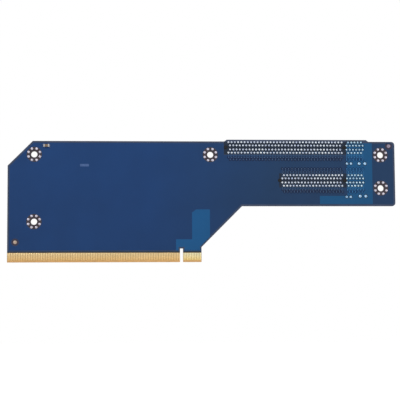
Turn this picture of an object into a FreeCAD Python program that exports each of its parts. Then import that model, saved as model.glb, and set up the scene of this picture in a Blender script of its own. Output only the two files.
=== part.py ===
"""Riser card that carries two expansion slots above the board it plugs into.

X runs along the contact edge, Z up the card and Y through it.  The origin is the middle of the
polarising key on the contact edge, in the card's mid-plane.  The solder side faces -Y and the
slots stand on the +Y side.
"""
import FreeCAD, Part
import os

import Sketcher

Vector = FreeCAD.Vector

# Driving sizes in millimetres: alias, value, what it measures.
SIZES = (
    # laminate and its contact edge
    ("board_thickness", 1.57, "laminate with its lacquer"),
    ("contact_pitch", 1.0, "from one contact to the next, on the edge and in the slots"),
    ("first_contact", 1.5, "key centre to the nearest contact"),
    ("edge_long_side", 104, "contacts left of the edge's key"),
    ("edge_short_side", 11, "contacts right of the edge's key"),
    ("edge_margin", 0.65, "outermost contact centre to the side of a card's tongue"),
    ("key_width", 1.9, "notch in a card's contact edge"),
    ("key_depth", 8.25, "height of that notch"),
    ("bevel_height", 1.1, "lead-in slope of the contact edge"),
    ("bevel_depth", 0.4, "what the slope takes from each face"),
    ("finger_width", 0.7, "gold contact on the edge"),
    ("finger_top", 5.66, "upper end of the gold contacts"),
    ("plating", 0.05, "copper and gold above the laminate"),
    # outline above the tongue
    ("tongue_height", 9.0, "straight side of the tongue, up to the diagonal"),
    ("arm_height", 34.05, "lower edge of the arm above the contact edge"),
    ("corner_chamfer", 15.1, "cut corner at the top left"),
    ("corner_radius", 2.0, "rounded corners at the arm's end"),
    ("top_margin", 3.67, "upper slot's centreline to the top edge"),
    ("arm_margin", 16.8, "slots' right end to the end of the arm"),
    ("tab_rise", 1.1, "raised stretch of the top edge behind the upper slot"),
    ("tab_inset", 0.45, "slots' left end to the foot of the raised stretch"),
    ("tab_overlap", 0.55, "how far the raised stretch passes the slots' right end"),
    ("tab_slope", 1.5, "run of its sloped shoulders"),
    # screw holes and their ring of plated lands
    ("hole_radius", 1.9, "screw hole"),
    ("left_hole_inset", 16.0, "left edge to the left pair of holes"),
    ("hole_drop", 8.2, "top edge to the upper holes"),
    ("left_hole_spacing", 41.0, "between the two left holes"),
    ("middle_hole_offset", 5.72, "tongue's right side to the middle hole"),
    ("right_hole_inset", 8.9, "arm's end to the right pair of holes"),
    ("right_hole_spacing", 20.5, "between the two right holes"),
    ("land_ring", 3.7, "hole centre to the lands round it"),
    ("land_radius", 0.8, "one land"),
    ("land_height", 0.35, "solder heaped on a land"),
    ("lands_per_hole", 8, "lands round each hole"),
    # slots
    ("hole_to_slot", 8.18, "middle hole to the left end of the slots"),
    ("lower_slot_rise", 15.76, "arm's lower edge to the lower slot's centreline"),
    ("slot_spacing", 20.32, "between the slots' centrelines"),
    ("upper_long_side", 71, "contacts left of the upper slot's key"),
    ("lower_long_side", 38, "contacts left of the lower slot's key"),
    ("slot_short_side", 11, "contacts right of either slot's key"),
    ("housing_end", 3.0, "outermost contact centre to the end of the housing"),
    ("housing_width", 7.5, "across the slot"),
    ("housing_height", 11.25, "from the laminate to the mouth"),
    ("groove_width", 1.85, "gap that takes a card's edge"),
    ("groove_floor", 3.35, "bottom of the gap above the laminate"),
    ("card_clearance", 0.1, "between a card and the key or the ends of the gap"),
    ("floor_web", 1.6, "wall between the two rows of contacts, under the gap"),
    ("side_wall", 0.95, "outer wall beside the contacts"),
    ("tail_room", 3.0, "height of the hollow over the contact tails"),
    ("skirt_wall", 0.25, "wall beside that hollow"),
    ("peg_radius", 1.1, "locating peg under a housing"),
    ("peg_clearance", 0.1, "round the peg in its hole"),
    ("peg_inset", 1.35, "housing's left end to its outer peg"),
    ("peg_reach", 0.3, "how far a peg stands out of the solder side"),
    # slot contacts and their solder joints
    ("blade_width", 0.5, "along the slot"),
    ("blade_foot", 0.3, "thickness where it meets the laminate"),
    ("blade_bow", 8.6, "height of the point that presses on the card"),
    ("blade_gap", 0.62, "slot's centreline to that point"),
    ("blade_top", 10.0, "upper end of a blade"),
    ("blade_back", 1.15, "slot's centreline to the upper end"),
    ("inner_tail_row", 1.25, "slot's centreline to the inner rows of tails"),
    ("outer_tail_row", 3.25, "slot's centreline to the outer rows of tails"),
    ("joint_radius", 0.62, "solder joint of a tail"),
    ("joint_height", 1.2, "how far tail and solder stand out"),
    # upright capacitors: place from the slot's key centre, then the two makes of can
    ("upper_small_along", 2.85, "upper small capacitor, along the slot"),
    ("upper_small_below", 9.85, "upper small capacitor, below the slot"),
    ("upper_large_along", 10.95, "upper large capacitor, along the slot"),
    ("upper_large_below", 9.85, "upper large capacitor, below the slot"),
    ("lower_small_along", 2.4, "lower small capacitor, along the slot"),
    ("lower_small_below", 10.1, "lower small capacitor, below the slot"),
    ("lower_large_along", 11.25, "lower large capacitor, along the slot"),
    ("lower_large_below", 9.7, "lower large capacitor, below the slot"),
    ("small_radius", 3.15, "small can"),
    ("small_height", 9.0, "small can's top above the laminate"),
    ("small_leads", 2.5, "between its leads"),
    ("small_joint", 0.78, "solder joint of one of them"),
    ("large_radius", 4.0, "large can"),
    ("large_height", 11.5, "large can's top above the laminate"),
    ("large_leads", 3.5, "between its leads"),
    ("large_joint", 0.92, "solder joint of one of them"),
    ("lead_height", 0.4, "bare lead between laminate and can"),
    ("lead_width", 0.5, "lead wire"),
    ("can_round", 0.5, "bevel round the can's top"),
    # chip capacitors
    ("edge_chip_along", 23.3, "left edge to the chip on the solder side"),
    ("edge_chip_below", 2.85, "top edge to that chip"),
    ("edge_chip_length", 3.5, "chip on the solder side"),
    ("edge_chip_width", 1.7, "chip on the solder side"),
    ("edge_chip_height", 1.1, "chip on the solder side"),
    ("edge_chip_cap", 0.9, "either metal end of that chip"),
    ("slot_chip_along", 4.2, "key centre to the chip beside a slot"),
    ("slot_chip_below", 7.6, "slot's centreline to that chip"),
    ("slot_chip_length", 2.0, "chip beside a slot"),
    ("slot_chip_width", 1.25, "chip beside a slot"),
    ("slot_chip_height", 0.9, "chip beside a slot"),
    ("slot_chip_cap", 0.5, "either metal end of that chip"),
    # bare copper dots that a placing machine sights on
    ("mark_radius", 1.0, "copper dot"),
    ("left_mark_inset", 4.75, "left edge to the lower dot"),
    ("left_mark_height", 12.15, "contact edge to the lower dot"),
    ("right_mark_inset", 3.65, "arm's end to the upper dot"),
    ("right_mark_drop", 2.65, "top edge to the upper dot"),
)

# Whole counts, and places that follow from the sizes, in the same frame.
PLACES = (
    ("face", "sizes.board_thickness / 2"),
    ("edge_long_count", "round(sizes.edge_long_side)"),
    ("edge_short_count", "round(sizes.edge_short_side)"),
    ("upper_long_count", "round(sizes.upper_long_side)"),
    ("lower_long_count", "round(sizes.lower_long_side)"),
    ("slot_short_count", "round(sizes.slot_short_side)"),
    ("left_edge", "-sizes.first_contact - (places.edge_long_count - 1) * sizes.contact_pitch"
                  " - sizes.edge_margin"),
    ("tongue_end", "sizes.first_contact + (places.edge_short_count - 1) * sizes.contact_pitch"
                   " + sizes.edge_margin"),
    ("diagonal_end", "places.tongue_end + sizes.arm_height - sizes.tongue_height"),
    ("middle_hole", "places.tongue_end + sizes.middle_hole_offset"),
    ("slots_left", "places.middle_hole + sizes.hole_to_slot"),
    ("slot_key", "places.slots_left + sizes.housing_end + sizes.first_contact"
                 " + (places.upper_long_count - 1) * sizes.contact_pitch"),
    ("slots_right", "places.slot_key + sizes.first_contact + sizes.housing_end"
                    " + (places.slot_short_count - 1) * sizes.contact_pitch"),
    ("right_edge", "places.slots_right + sizes.arm_margin"),
    ("lower_slot", "sizes.arm_height + sizes.lower_slot_rise"),
    ("upper_slot", "places.lower_slot + sizes.slot_spacing"),
    ("top_edge", "places.upper_slot + sizes.top_margin"),
    ("left_hole", "places.left_edge + sizes.left_hole_inset"),
    ("right_hole", "places.right_edge - sizes.right_hole_inset"),
    ("upper_holes", "places.top_edge - sizes.hole_drop"),
    ("left_low_hole", "places.upper_holes - sizes.left_hole_spacing"),
    ("right_low_hole", "places.upper_holes - sizes.right_hole_spacing"),
)

SCREW_HOLES = (
    ("places.left_hole", "places.upper_holes"),
    ("places.left_hole", "places.left_low_hole"),
    ("places.middle_hole", "places.upper_holes"),
    ("places.right_hole", "places.upper_holes"),
    ("places.right_hole", "places.right_low_hole"),
)

# Each slot: name, height of its centreline, contacts left of its key.
SLOTS = (
    ("x16", "places.upper_slot", "places.upper_long_count"),
    ("x8", "places.lower_slot", "places.lower_long_count"),
)

# Each upright capacitor: name, which starts the names of its place; its slot's centreline; its
# make, which starts the names of its sizes.
CAPACITORS = (
    ("upper_small", "places.upper_slot", "small"),
    ("upper_large", "places.upper_slot", "large"),
    ("lower_small", "places.lower_slot", "small"),
    ("lower_large", "places.lower_slot", "large"),
)

# What is round on the card but only a millimetre or two across is made with these many sides.
JOINT_SIDES = 5
LAND_SIDES = 5
PEG_SIDES = 6
MARK_SIDES = 8

# Contacts with the same tail row follow each other at every second place.
TAIL_STEP = "2 * sizes.contact_pitch"

# Millimetres within which an edge counts as lying on the end of the arm.
SAME_PLACE = 0.01

document = FreeCAD.newDocument("riser_card")


def fill_sheet(name, rows):
    """Spreadsheet with one row for each value: its alias, the value and a remark."""
    sheet = document.addObject("Spreadsheet::Sheet", name)
    for number, row in enumerate(rows, start=1):
        sheet.set("A%d" % number, row[0])
        sheet.set("B%d" % number, str(row[1]))
        sheet.setAlias("B%d" % number, row[0])
        if len(row) > 2:
            sheet.set("C%d" % number, row[2])
    document.recompute()
    return sheet


sizes = fill_sheet("sizes", SIZES)
places = fill_sheet("places", tuple((alias, "=" + formula) for alias, formula in PLACES))


def number_of(expression):
    """Present value of an expression, to start a sketch or a count from."""
    return float(sizes.evalExpression(expression))


def new_body(label, place=("0", "0", "0")):
    """Body for one sub-part, with its own frame at the given X, Y and Z expressions."""
    body = document.addObject("PartDesign::Body", label)
    body.Label = label
    for axis, expression in zip("xyz", place):
        body.setExpression("Placement.Base." + axis, expression)
    return body


def new_sketch(body, role, name, lift="0", shift=("0", "0")):
    """Sketch on one of the body's origin planes, lifted along its normal and shifted in it."""
    sketch = body.newObject("Sketcher::SketchObject", name)
    plane = [item for item in body.Origin.OriginFeatures if item.Role == role][0]
    sketch.AttachmentSupport = (plane, "")
    sketch.MapMode = "FlatFace"
    for axis, expression in zip("xyz", shift + (lift,)):
        sketch.setExpression("AttachmentOffset.Base." + axis, expression)
    return sketch


def hold(sketch, kind, name, expression, *references):
    """Dimension of the sketch bound to an expression."""
    constraint = Sketcher.Constraint(kind, *references, number_of(expression))
    sketch.renameConstraint(sketch.addConstraint(constraint), name)
    sketch.setExpression("Constraints." + name, expression)


def draw_polygon(sketch, corners):
    """Closed outline of straight lines, each corner held by its two expressions."""
    first = sketch.GeometryCount
    points = [Vector(number_of(across), number_of(up), 0) for across, up in corners]
    following = points[1:] + points[:1]
    for start, end in zip(points, following):
        sketch.addGeometry(Part.LineSegment(start, end), False)
    for index, (across, up) in enumerate(corners):
        line = first + index
        after = first + (index + 1) % len(corners)
        sketch.addConstraint(Sketcher.Constraint("Coincident", line, 2, after, 1))
        hold(sketch, "DistanceX", "across%d" % line, across, -1, 1, line, 1)
        hold(sketch, "DistanceY", "up%d" % line, up, -1, 1, line, 1)


def draw_rectangle(sketch, left, right, low, high):
    """Rectangle between two X and two Y expressions."""
    draw_polygon(sketch, ((left, low), (right, low), (right, high), (left, high)))


def draw_circle(sketch, across, up, radius):
    """Circle held by its centre and radius."""
    centre = Vector(number_of(across), number_of(up), 0)
    circle = sketch.addGeometry(Part.Circle(centre, Vector(0, 0, 1), number_of(radius)), False)
    hold(sketch, "DistanceX", "across%d" % circle, across, -1, 1, circle, 3)
    hold(sketch, "DistanceY", "up%d" % circle, up, -1, 1, circle, 3)
    hold(sketch, "Radius", "radius%d" % circle, radius, circle)


def draw_regular(sketch, across, up, radius, sides):
    """Regular polygon with the given number of sides inside a circle of that radius."""
    corners = []
    for index in range(sides):
        angle = 360.0 * index / sides
        corners.append(("%s + %s * cos(%.1f deg)" % (across, radius, angle),
                        "%s + %s * sin(%.1f deg)" % (up, radius, angle)))
    draw_polygon(sketch, corners)


def pad(body, sketch, name, length, reversed_=False, symmetric=False):
    """Solid raised from a sketch."""
    feature = body.newObject("PartDesign::Pad", name)
    feature.Profile = sketch
    feature.setExpression("Length", length)
    feature.Reversed = reversed_
    if symmetric:
        feature.SideType = "Symmetric"
    return feature


def pocket(body, sketch, name, length=None, reversed_=False, symmetric=False):
    """Cut from a sketch, right through where no length is given."""
    feature = body.newObject("PartDesign::Pocket", name)
    feature.Profile = sketch
    if length is None:
        feature.Type = "ThroughAll"
    else:
        feature.setExpression("Length", length)
    feature.Reversed = reversed_
    if symmetric:
        feature.SideType = "Symmetric"
    return feature


def repeat_in_line(body, feature, sketch, name, count, spacing, backwards=False, axis="H_Axis"):
    """Row of separate copies of a feature along one of its sketch's axes."""
    pattern = body.newObject("PartDesign::LinearPattern", name)
    pattern.Originals = [feature]
    pattern.Refine = False
    pattern.Direction = (sketch, [axis])
    pattern.Mode = "Spacing"
    pattern.setExpression("Occurrences", count)
    pattern.setExpression("Offset", spacing)
    pattern.Reversed = backwards
    body.Tip = pattern
    return pattern


def heap(body, name, place, radius, height, sides):
    """Drop of solder on the solder side: a pyramid of several sides, up to a point."""
    foot = new_sketch(body, "XZ_Plane", name + "_foot")
    draw_regular(foot, place[0], place[1], radius, sides)
    point = new_sketch(body, "XZ_Plane", name + "_point", lift=height)
    mark = point.addGeometry(Part.Point(Vector(number_of(place[0]), number_of(place[1]), 0)), False)
    hold(point, "DistanceX", "across", place[0], -1, 1, mark, 1)
    hold(point, "DistanceY", "up", place[1], -1, 1, mark, 1)
    loft = body.newObject("PartDesign::AdditiveLoft", name)
    loft.Profile = foot
    loft.Sections = [(point, ["Vertex1"])]
    loft.Ruled = True
    loft.Refine = False
    return loft, foot


def make_circuit_board():
    """Laminate: cut outline with key notch and raised tab, lead-in bevel, holes."""
    body = new_body("circuit_board")
    outline = new_sketch(body, "XZ_Plane", "board_outline")
    half_key = "sizes.key_width / 2"
    tab_left = "places.slots_left + sizes.tab_inset"
    tab_right = "places.slots_right + sizes.tab_overlap"
    tab_top = "places.top_edge + sizes.tab_rise"
    draw_polygon(outline, (
        ("places.left_edge", "0"),
        ("-" + half_key, "0"),
        ("-" + half_key, "sizes.key_depth"),
        (half_key, "sizes.key_depth"),
        (half_key, "0"),
        ("places.tongue_end", "0"),
        ("places.tongue_end", "sizes.tongue_height"),
        ("places.diagonal_end", "sizes.arm_height"),
        ("places.right_edge", "sizes.arm_height"),
        ("places.right_edge", "places.top_edge"),
        (tab_right, "places.top_edge"),
        (tab_right + " - sizes.tab_slope", tab_top),
        (tab_left + " + sizes.tab_slope", tab_top),
        (tab_left, "places.top_edge"),
        ("places.left_edge + sizes.corner_chamfer", "places.top_edge"),
        ("places.left_edge", "places.top_edge - sizes.corner_chamfer"),
    ))
    slab = pad(body, outline, "board_slab", "sizes.board_thickness", symmetric=True)
    document.recompute()

    right = number_of("places.right_edge")
    corners = []
    for index, edge in enumerate(slab.Shape.Edges, start=1):
        box = edge.BoundBox
        if box.YLength > box.ZLength and abs(box.XMin - right) < SAME_PLACE:
            corners.append("Edge%d" % index)
    rounding = body.newObject("PartDesign::Fillet", "arm_corners")
    rounding.Base = (slab, corners)
    rounding.setExpression("Radius", "sizes.corner_radius")

    slope = new_sketch(body, "YZ_Plane", "lead_in_slope", lift="places.left_edge")
    for side in ("", "-"):
        draw_polygon(slope, (
            (side + "places.face", "0"),
            (side + "places.face", "sizes.bevel_height"),
            (side + "(places.face - sizes.bevel_depth)", "0"),
        ))
    pocket(body, slope, "lead_in", "places.tongue_end - places.left_edge", reversed_=True)

    holes = new_sketch(body, "XZ_Plane", "screw_hole_circles")
    for across, up in SCREW_HOLES:
        draw_circle(holes, across, up, "sizes.hole_radius")
    pocket(body, holes, "screw_holes", symmetric=True)

    peg_holes = new_sketch(body, "XZ_Plane", "peg_hole_circles")
    for name, slot_height, long_side in SLOTS:
        for across in ("0", outer_peg(long_side)):
            draw_regular(peg_holes, "places.slot_key + " + across, slot_height,
                         "(sizes.peg_radius + sizes.peg_clearance)", PEG_SIDES)
    pocket(body, peg_holes, "peg_holes", symmetric=True)
    return body


def outer_peg(long_side):
    """Place of a housing's outer peg from its key centre."""
    return "(sizes.peg_inset - %s)" % housing_left(long_side)


def housing_left(long_side):
    """How far a housing reaches to the left of its key centre."""
    return ("(sizes.first_contact + (%s - 1) * sizes.contact_pitch + sizes.housing_end)"
            % long_side)


def make_fingers(label, face, outwards):
    """Gold contacts of the card edge on one face, in two rows either side of the key."""
    body = new_body(label, ("0", face, "0"))
    half = "sizes.finger_width / 2"
    rows = (("long", "-sizes.first_contact", "places.edge_long_count", True),
            ("short", "sizes.first_contact", "places.edge_short_count", False))
    for row, centre, count, backwards in rows:
        outline = new_sketch(body, "XZ_Plane", row + "_finger_outline")
        draw_rectangle(outline, centre + " - " + half, centre + " + " + half,
                       "sizes.bevel_height", "sizes.finger_top")
        finger = pad(body, outline, row + "_finger", "sizes.plating", reversed_=outwards)
        repeat_in_line(body, finger, outline, row + "_fingers", count, "sizes.contact_pitch",
                       backwards)
    return body


def make_screw_lands():
    """Solder on the ring of lands round each screw hole, which earths the screw's head."""
    body = new_body("solder_side_screw_lands", ("0", "-places.face", "0"))
    half_step = "180 deg / sizes.lands_per_hole"
    first_land = ("sizes.land_ring * cos(%s)" % half_step, "sizes.land_ring * sin(%s)" % half_step)
    for number, (across, up) in enumerate(SCREW_HOLES, start=1):
        name = "land%d" % number
        loft, foot = heap(body, name, first_land, "sizes.land_radius", "sizes.land_height",
                          LAND_SIDES)
        for sketch in (foot, loft.Sections[0][0]):
            sketch.setExpression("AttachmentOffset.Base.x", across)
            sketch.setExpression("AttachmentOffset.Base.y", up)
        ring = body.newObject("PartDesign::PolarPattern", name + "_ring")
        ring.Originals = [loft]
        ring.Refine = False
        ring.Axis = (foot, ["N_Axis"])
        ring.setExpression("Occurrences", "sizes.lands_per_hole")
        body.Tip = ring
    return body


def make_housing(name, slot_height, long_side):
    """Moulded slot housing: block, card gap, contact troughs, hollow under them, pegs."""
    body = new_body(name + "_slot_housing", ("places.slot_key", "places.face", slot_height))
    left = "-" + housing_left(long_side)
    right = housing_left("places.slot_short_count")
    half_width = "sizes.housing_width / 2"
    plan = new_sketch(body, "XZ_Plane", "block_plan")
    draw_rectangle(plan, left, right, "-" + half_width, half_width)
    pad(body, plan, "block", "sizes.housing_height", reversed_=True)

    # each side of the key: from the contact nearest to it out to the last one
    nearest = "(sizes.first_contact - sizes.contact_pitch / 2)"
    sides = []
    for sign, count in (("-", long_side), ("", "places.slot_short_count")):
        farthest = "(%s + %s * sizes.contact_pitch)" % (nearest, count)
        last_wall = ("(%s - sizes.contact_pitch / 2 + sizes.edge_margin + sizes.card_clearance)"
                     % farthest)
        sides.append((sign, farthest, last_wall))

    gap = new_sketch(body, "XZ_Plane", "card_gap_plan", lift="-sizes.groove_floor")
    for sign, farthest, last_wall in sides:
        draw_rectangle(gap, sign + "(sizes.key_width / 2 - sizes.card_clearance)",
                       sign + last_wall, "-sizes.groove_width / 2", "sizes.groove_width / 2")
    pocket(body, gap, "card_gap")

    troughs = new_sketch(body, "XZ_Plane", "contact_trough_plan")
    for sign, farthest, last_wall in sides:
        for row in ("", "-"):
            draw_rectangle(troughs, sign + nearest, sign + farthest, row + "sizes.floor_web / 2",
                           row + "(sizes.housing_width / 2 - sizes.side_wall)")
    pocket(body, troughs, "contact_troughs")

    hollow = new_sketch(body, "XZ_Plane", "tail_hollow_plan")
    for sign, farthest, last_wall in sides:
        draw_rectangle(hollow, sign + nearest, sign + farthest,
                       "-(sizes.housing_width / 2 - sizes.skirt_wall)",
                       "sizes.housing_width / 2 - sizes.skirt_wall")
    pocket(body, hollow, "tail_hollow", "sizes.tail_room")

    pegs = new_sketch(body, "XZ_Plane", "peg_plan")
    for across in ("0", outer_peg(long_side)):
        draw_regular(pegs, across, "0", "sizes.peg_radius", PEG_SIDES)
    pad(body, pegs, "pegs", "sizes.board_thickness + sizes.peg_reach")
    return body


def contact_rows(long_side):
    """The four runs of contacts on one side of a slot's centreline.

    Inner and outer tails take turns: counted from the slot's right end, the odd contacts have
    inner tails and the even ones outer tails.  Gives name, first contact from the key centre,
    count, leftwards, and the tail row.
    """
    near = "sizes.first_contact"
    second = "(sizes.first_contact + sizes.contact_pitch)"
    short_side = "places.slot_short_count"
    return (
        ("long_outer", "-" + near, "ceil(%s / 2)" % long_side, True, "sizes.outer_tail_row"),
        ("long_inner", "-" + second, "floor(%s / 2)" % long_side, True, "sizes.inner_tail_row"),
        ("short_inner", near, "ceil(%s / 2)" % short_side, False, "sizes.inner_tail_row"),
        ("short_outer", second, "floor(%s / 2)" % short_side, False, "sizes.outer_tail_row"),
    )


def make_contacts(name, slot_height, long_side, row, sign):
    """Spring contacts along one side of a slot, from the laminate up to the mouth."""
    body = new_body("%s_contacts_row_%s" % (name, row),
                    ("places.slot_key", "places.face", slot_height))
    half_foot = "sizes.blade_foot / 2"
    for run, first, count, leftwards, tail_row in contact_rows(long_side):
        profile = new_sketch(body, "YZ_Plane", run + "_profile", lift=first)
        draw_polygon(profile, (
            ("0", "%s(%s - %s)" % (sign, tail_row, half_foot)),
            ("0", "%s(%s + %s)" % (sign, tail_row, half_foot)),
            ("sizes.blade_top", sign + "sizes.blade_back"),
            ("sizes.blade_bow", sign + "sizes.blade_gap"),
        ))
        blade = pad(body, profile, run + "_blade", "sizes.blade_width", symmetric=True)
        repeat_in_line(body, blade, profile, run + "_blades", count, TAIL_STEP, leftwards,
                       axis="N_Axis")
    return body


def make_joints(name, slot_height, long_side):
    """Solder joints of a slot's contact tails, four rows on the solder side."""
    body = new_body(name + "_solder_joints", ("places.slot_key", "-places.face", slot_height))
    for row, sign in (("a", ""), ("b", "-")):
        for run, first, count, leftwards, tail_row in contact_rows(long_side):
            label = "%s_%s" % (run, row)
            joint, foot = heap(body, label + "_joint", (first, sign + tail_row),
                               "sizes.joint_radius", "sizes.joint_height", JOINT_SIDES)
            repeat_in_line(body, joint, foot, label + "_joints", count, TAIL_STEP, leftwards)
    return body


def capacitor_place(name, slot_height, face):
    """X, Y and Z of a capacitor's axis where it meets a face of the laminate."""
    return ("places.slot_key + sizes.%s_along" % name, face,
            "%s - sizes.%s_below" % (slot_height, name))


def make_can(name, slot_height, make):
    """Aluminium can of an upright capacitor, on its leads."""
    body = new_body(name + "_capacitor_can", capacitor_place(name, slot_height, "places.face"))
    radius = "sizes.%s_radius" % make
    top = "sizes.%s_height" % make
    profile = new_sketch(body, "XY_Plane", "can_profile")
    draw_polygon(profile, (
        ("0", "sizes.lead_height"),
        (radius, "sizes.lead_height"),
        (radius, top + " - sizes.can_round"),
        (radius + " - sizes.can_round", top),
        ("0", top),
    ))
    can = body.newObject("PartDesign::Revolution", "can")
    can.Profile = profile
    can.ReferenceAxis = (profile, ["V_Axis"])
    return body


def make_leads():
    """Bare stretch of the capacitors' leads, between can and laminate."""
    body = new_body("capacitor_leads", ("0", "places.face", "0"))
    half = "sizes.lead_width / 2"
    outline = new_sketch(body, "XZ_Plane", "lead_sections")
    for name, slot_height, make in CAPACITORS:
        across, face, up = capacitor_place(name, slot_height, "places.face")
        for side in ("-", "+"):
            middle = "%s %s sizes.%s_leads / 2" % (across, side, make)
            draw_rectangle(outline, "%s - %s" % (middle, half), "%s + %s" % (middle, half),
                           "%s - %s" % (up, half), "%s + %s" % (up, half))
    pad(body, outline, "leads", "sizes.lead_height", reversed_=True)
    return body


def make_lead_joints():
    """Solder joints of the capacitors' leads."""
    body = new_body("capacitor_solder_joints", ("0", "-places.face", "0"))
    for name, slot_height, make in CAPACITORS:
        across, face, up = capacitor_place(name, slot_height, "places.face")
        for end, side in (("left", "-"), ("right", "+")):
            middle = "%s %s sizes.%s_leads / 2" % (across, side, make)
            heap(body, "%s_%s_joint" % (name, end), (middle, up), "sizes.%s_joint" % make,
                 "sizes.joint_height", JOINT_SIDES)
    return body


def make_chips(prefix, size, face, outwards, spots):
    """Chip capacitors: ceramic bodies and, at both ends, the metal caps that are soldered."""
    ceramic = new_body(prefix + "_chip_bodies", ("0", face, "0"))
    metal = new_body(prefix + "_chip_ends", ("0", face, "0"))
    half_length = "sizes.%s_length / 2" % size
    half_width = "sizes.%s_width / 2" % size
    body_plan = new_sketch(ceramic, "XZ_Plane", "chip_plan")
    end_plan = new_sketch(metal, "XZ_Plane", "end_plan")
    for across, up in spots:
        low = "%s - %s" % (up, half_width)
        high = "%s + %s" % (up, half_width)
        shoulder = "(%s - sizes.%s_cap)" % (half_length, size)
        draw_rectangle(body_plan, "%s - %s" % (across, shoulder), "%s + %s" % (across, shoulder),
                       low, high)
        for side in ("-", "+"):
            draw_rectangle(end_plan, "%s %s %s" % (across, side, half_length),
                           "%s %s %s" % (across, side, shoulder), low, high)
    pad(ceramic, body_plan, "chips", "sizes.%s_height" % size, reversed_=outwards)
    pad(metal, end_plan, "ends", "sizes.%s_height" % size, reversed_=outwards)
    return ceramic, metal


def make_sighting_marks():
    """Two bare copper dots on the solder side."""
    body = new_body("sighting_marks", ("0", "-places.face", "0"))
    outline = new_sketch(body, "XZ_Plane", "mark_outlines")
    draw_regular(outline, "places.left_edge + sizes.left_mark_inset", "sizes.left_mark_height",
                 "sizes.mark_radius", MARK_SIDES)
    draw_regular(outline, "places.right_edge - sizes.right_mark_inset",
                 "places.top_edge - sizes.right_mark_drop", "sizes.mark_radius", MARK_SIDES)
    pad(body, outline, "marks", "sizes.plating")
    return body


def build():
    """All sub-parts, in the order in which the card is put together."""
    bodies = [make_circuit_board()]
    bodies.append(make_fingers("solder_side_fingers", "-places.face", False))
    bodies.append(make_fingers("component_side_fingers", "places.face", True))
    bodies.append(make_screw_lands())
    bodies.append(make_sighting_marks())
    for name, slot_height, long_side in SLOTS:
        bodies.append(make_housing(name, slot_height, long_side))
        bodies.append(make_contacts(name, slot_height, long_side, "a", ""))
        bodies.append(make_contacts(name, slot_height, long_side, "b", "-"))
        bodies.append(make_joints(name, slot_height, long_side))
    for name, slot_height, make in CAPACITORS:
        bodies.append(make_can(name, slot_height, make))
    bodies.append(make_leads())
    bodies.append(make_lead_joints())
    edge_spot = ("places.left_edge + sizes.edge_chip_along",
                 "places.top_edge - sizes.edge_chip_below")
    bodies.extend(make_chips("solder_side", "edge_chip", "-places.face", False, (edge_spot,)))
    slot_spots = [("places.slot_key - sizes.slot_chip_along",
                   slot_height + " - sizes.slot_chip_below")
                  for name, slot_height, long_side in SLOTS]
    bodies.extend(make_chips("component_side", "slot_chip", "places.face", True, slot_spots))
    return bodies


def check_and_export(bodies):
    """Stops on any failed object or bad shape, then writes one file for each sub-part."""
    document.recompute()
    for item in document.Objects:
        if "Invalid" in item.State or "Error" in item.State:
            raise RuntimeError(item.Label + " failed: " + ", ".join(item.State))
        if item.isDerivedFrom("PartDesign::Pocket"):
            if not item.Shape.Volume < item.BaseFeature.Shape.Volume:
                raise RuntimeError(item.Label + " cuts nothing")
    for body in bodies:
        if body.Shape.isNull() or not body.Shape.isValid():
            raise RuntimeError(body.Label + " has no valid shape")
    os.makedirs("parts", exist_ok=True)
    for body in bodies:
        body.Shape.exportStep(os.path.join("parts", body.Label + ".step"))
        print("%-30s %4d solids %9.2f mm3" % (body.Label, len(body.Shape.Solids),
                                              body.Shape.Volume))


check_and_export(build())
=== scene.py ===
"""Riser card with two expansion slots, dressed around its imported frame.

The card stands on its contact edge: X runs along that edge, Z up the card, Y through it.  The
solder side faces -Y and the component side +Y.  Lengths are in millimetres until a mesh is
made, which is in metres.
"""
from types import SimpleNamespace

import bmesh
import bpy
import numpy as np
from mathutils import Matrix, Vector


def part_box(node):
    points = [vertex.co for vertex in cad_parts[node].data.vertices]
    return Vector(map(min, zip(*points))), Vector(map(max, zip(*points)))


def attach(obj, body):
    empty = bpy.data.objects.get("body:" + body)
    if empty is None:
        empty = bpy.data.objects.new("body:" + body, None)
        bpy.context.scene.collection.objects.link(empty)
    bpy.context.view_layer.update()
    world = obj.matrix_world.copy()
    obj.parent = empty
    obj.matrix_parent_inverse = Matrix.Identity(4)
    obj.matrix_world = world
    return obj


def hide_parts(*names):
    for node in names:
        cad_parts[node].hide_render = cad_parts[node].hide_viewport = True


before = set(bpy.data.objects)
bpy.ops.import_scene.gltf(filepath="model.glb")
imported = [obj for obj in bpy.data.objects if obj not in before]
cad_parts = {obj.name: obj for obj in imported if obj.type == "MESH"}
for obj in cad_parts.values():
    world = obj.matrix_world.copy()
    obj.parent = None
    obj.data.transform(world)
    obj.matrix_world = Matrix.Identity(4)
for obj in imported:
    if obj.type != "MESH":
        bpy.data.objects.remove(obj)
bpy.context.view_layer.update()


# ---- Circuit board ----
# Woven glass and resin pressed into one sheet with its inner copper, routed to its outline and
# drilled.  Its contact edge is ground to a lead-in, and both faces are coated with blue lacquer
# that stops short of the edge contacts, where the bare laminate shows.
MM = 0.001


def node_box(name):
    """Lowest and highest corner of one of the frame's nodes, in millimetres."""
    return np.array(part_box(name)) / MM


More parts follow.
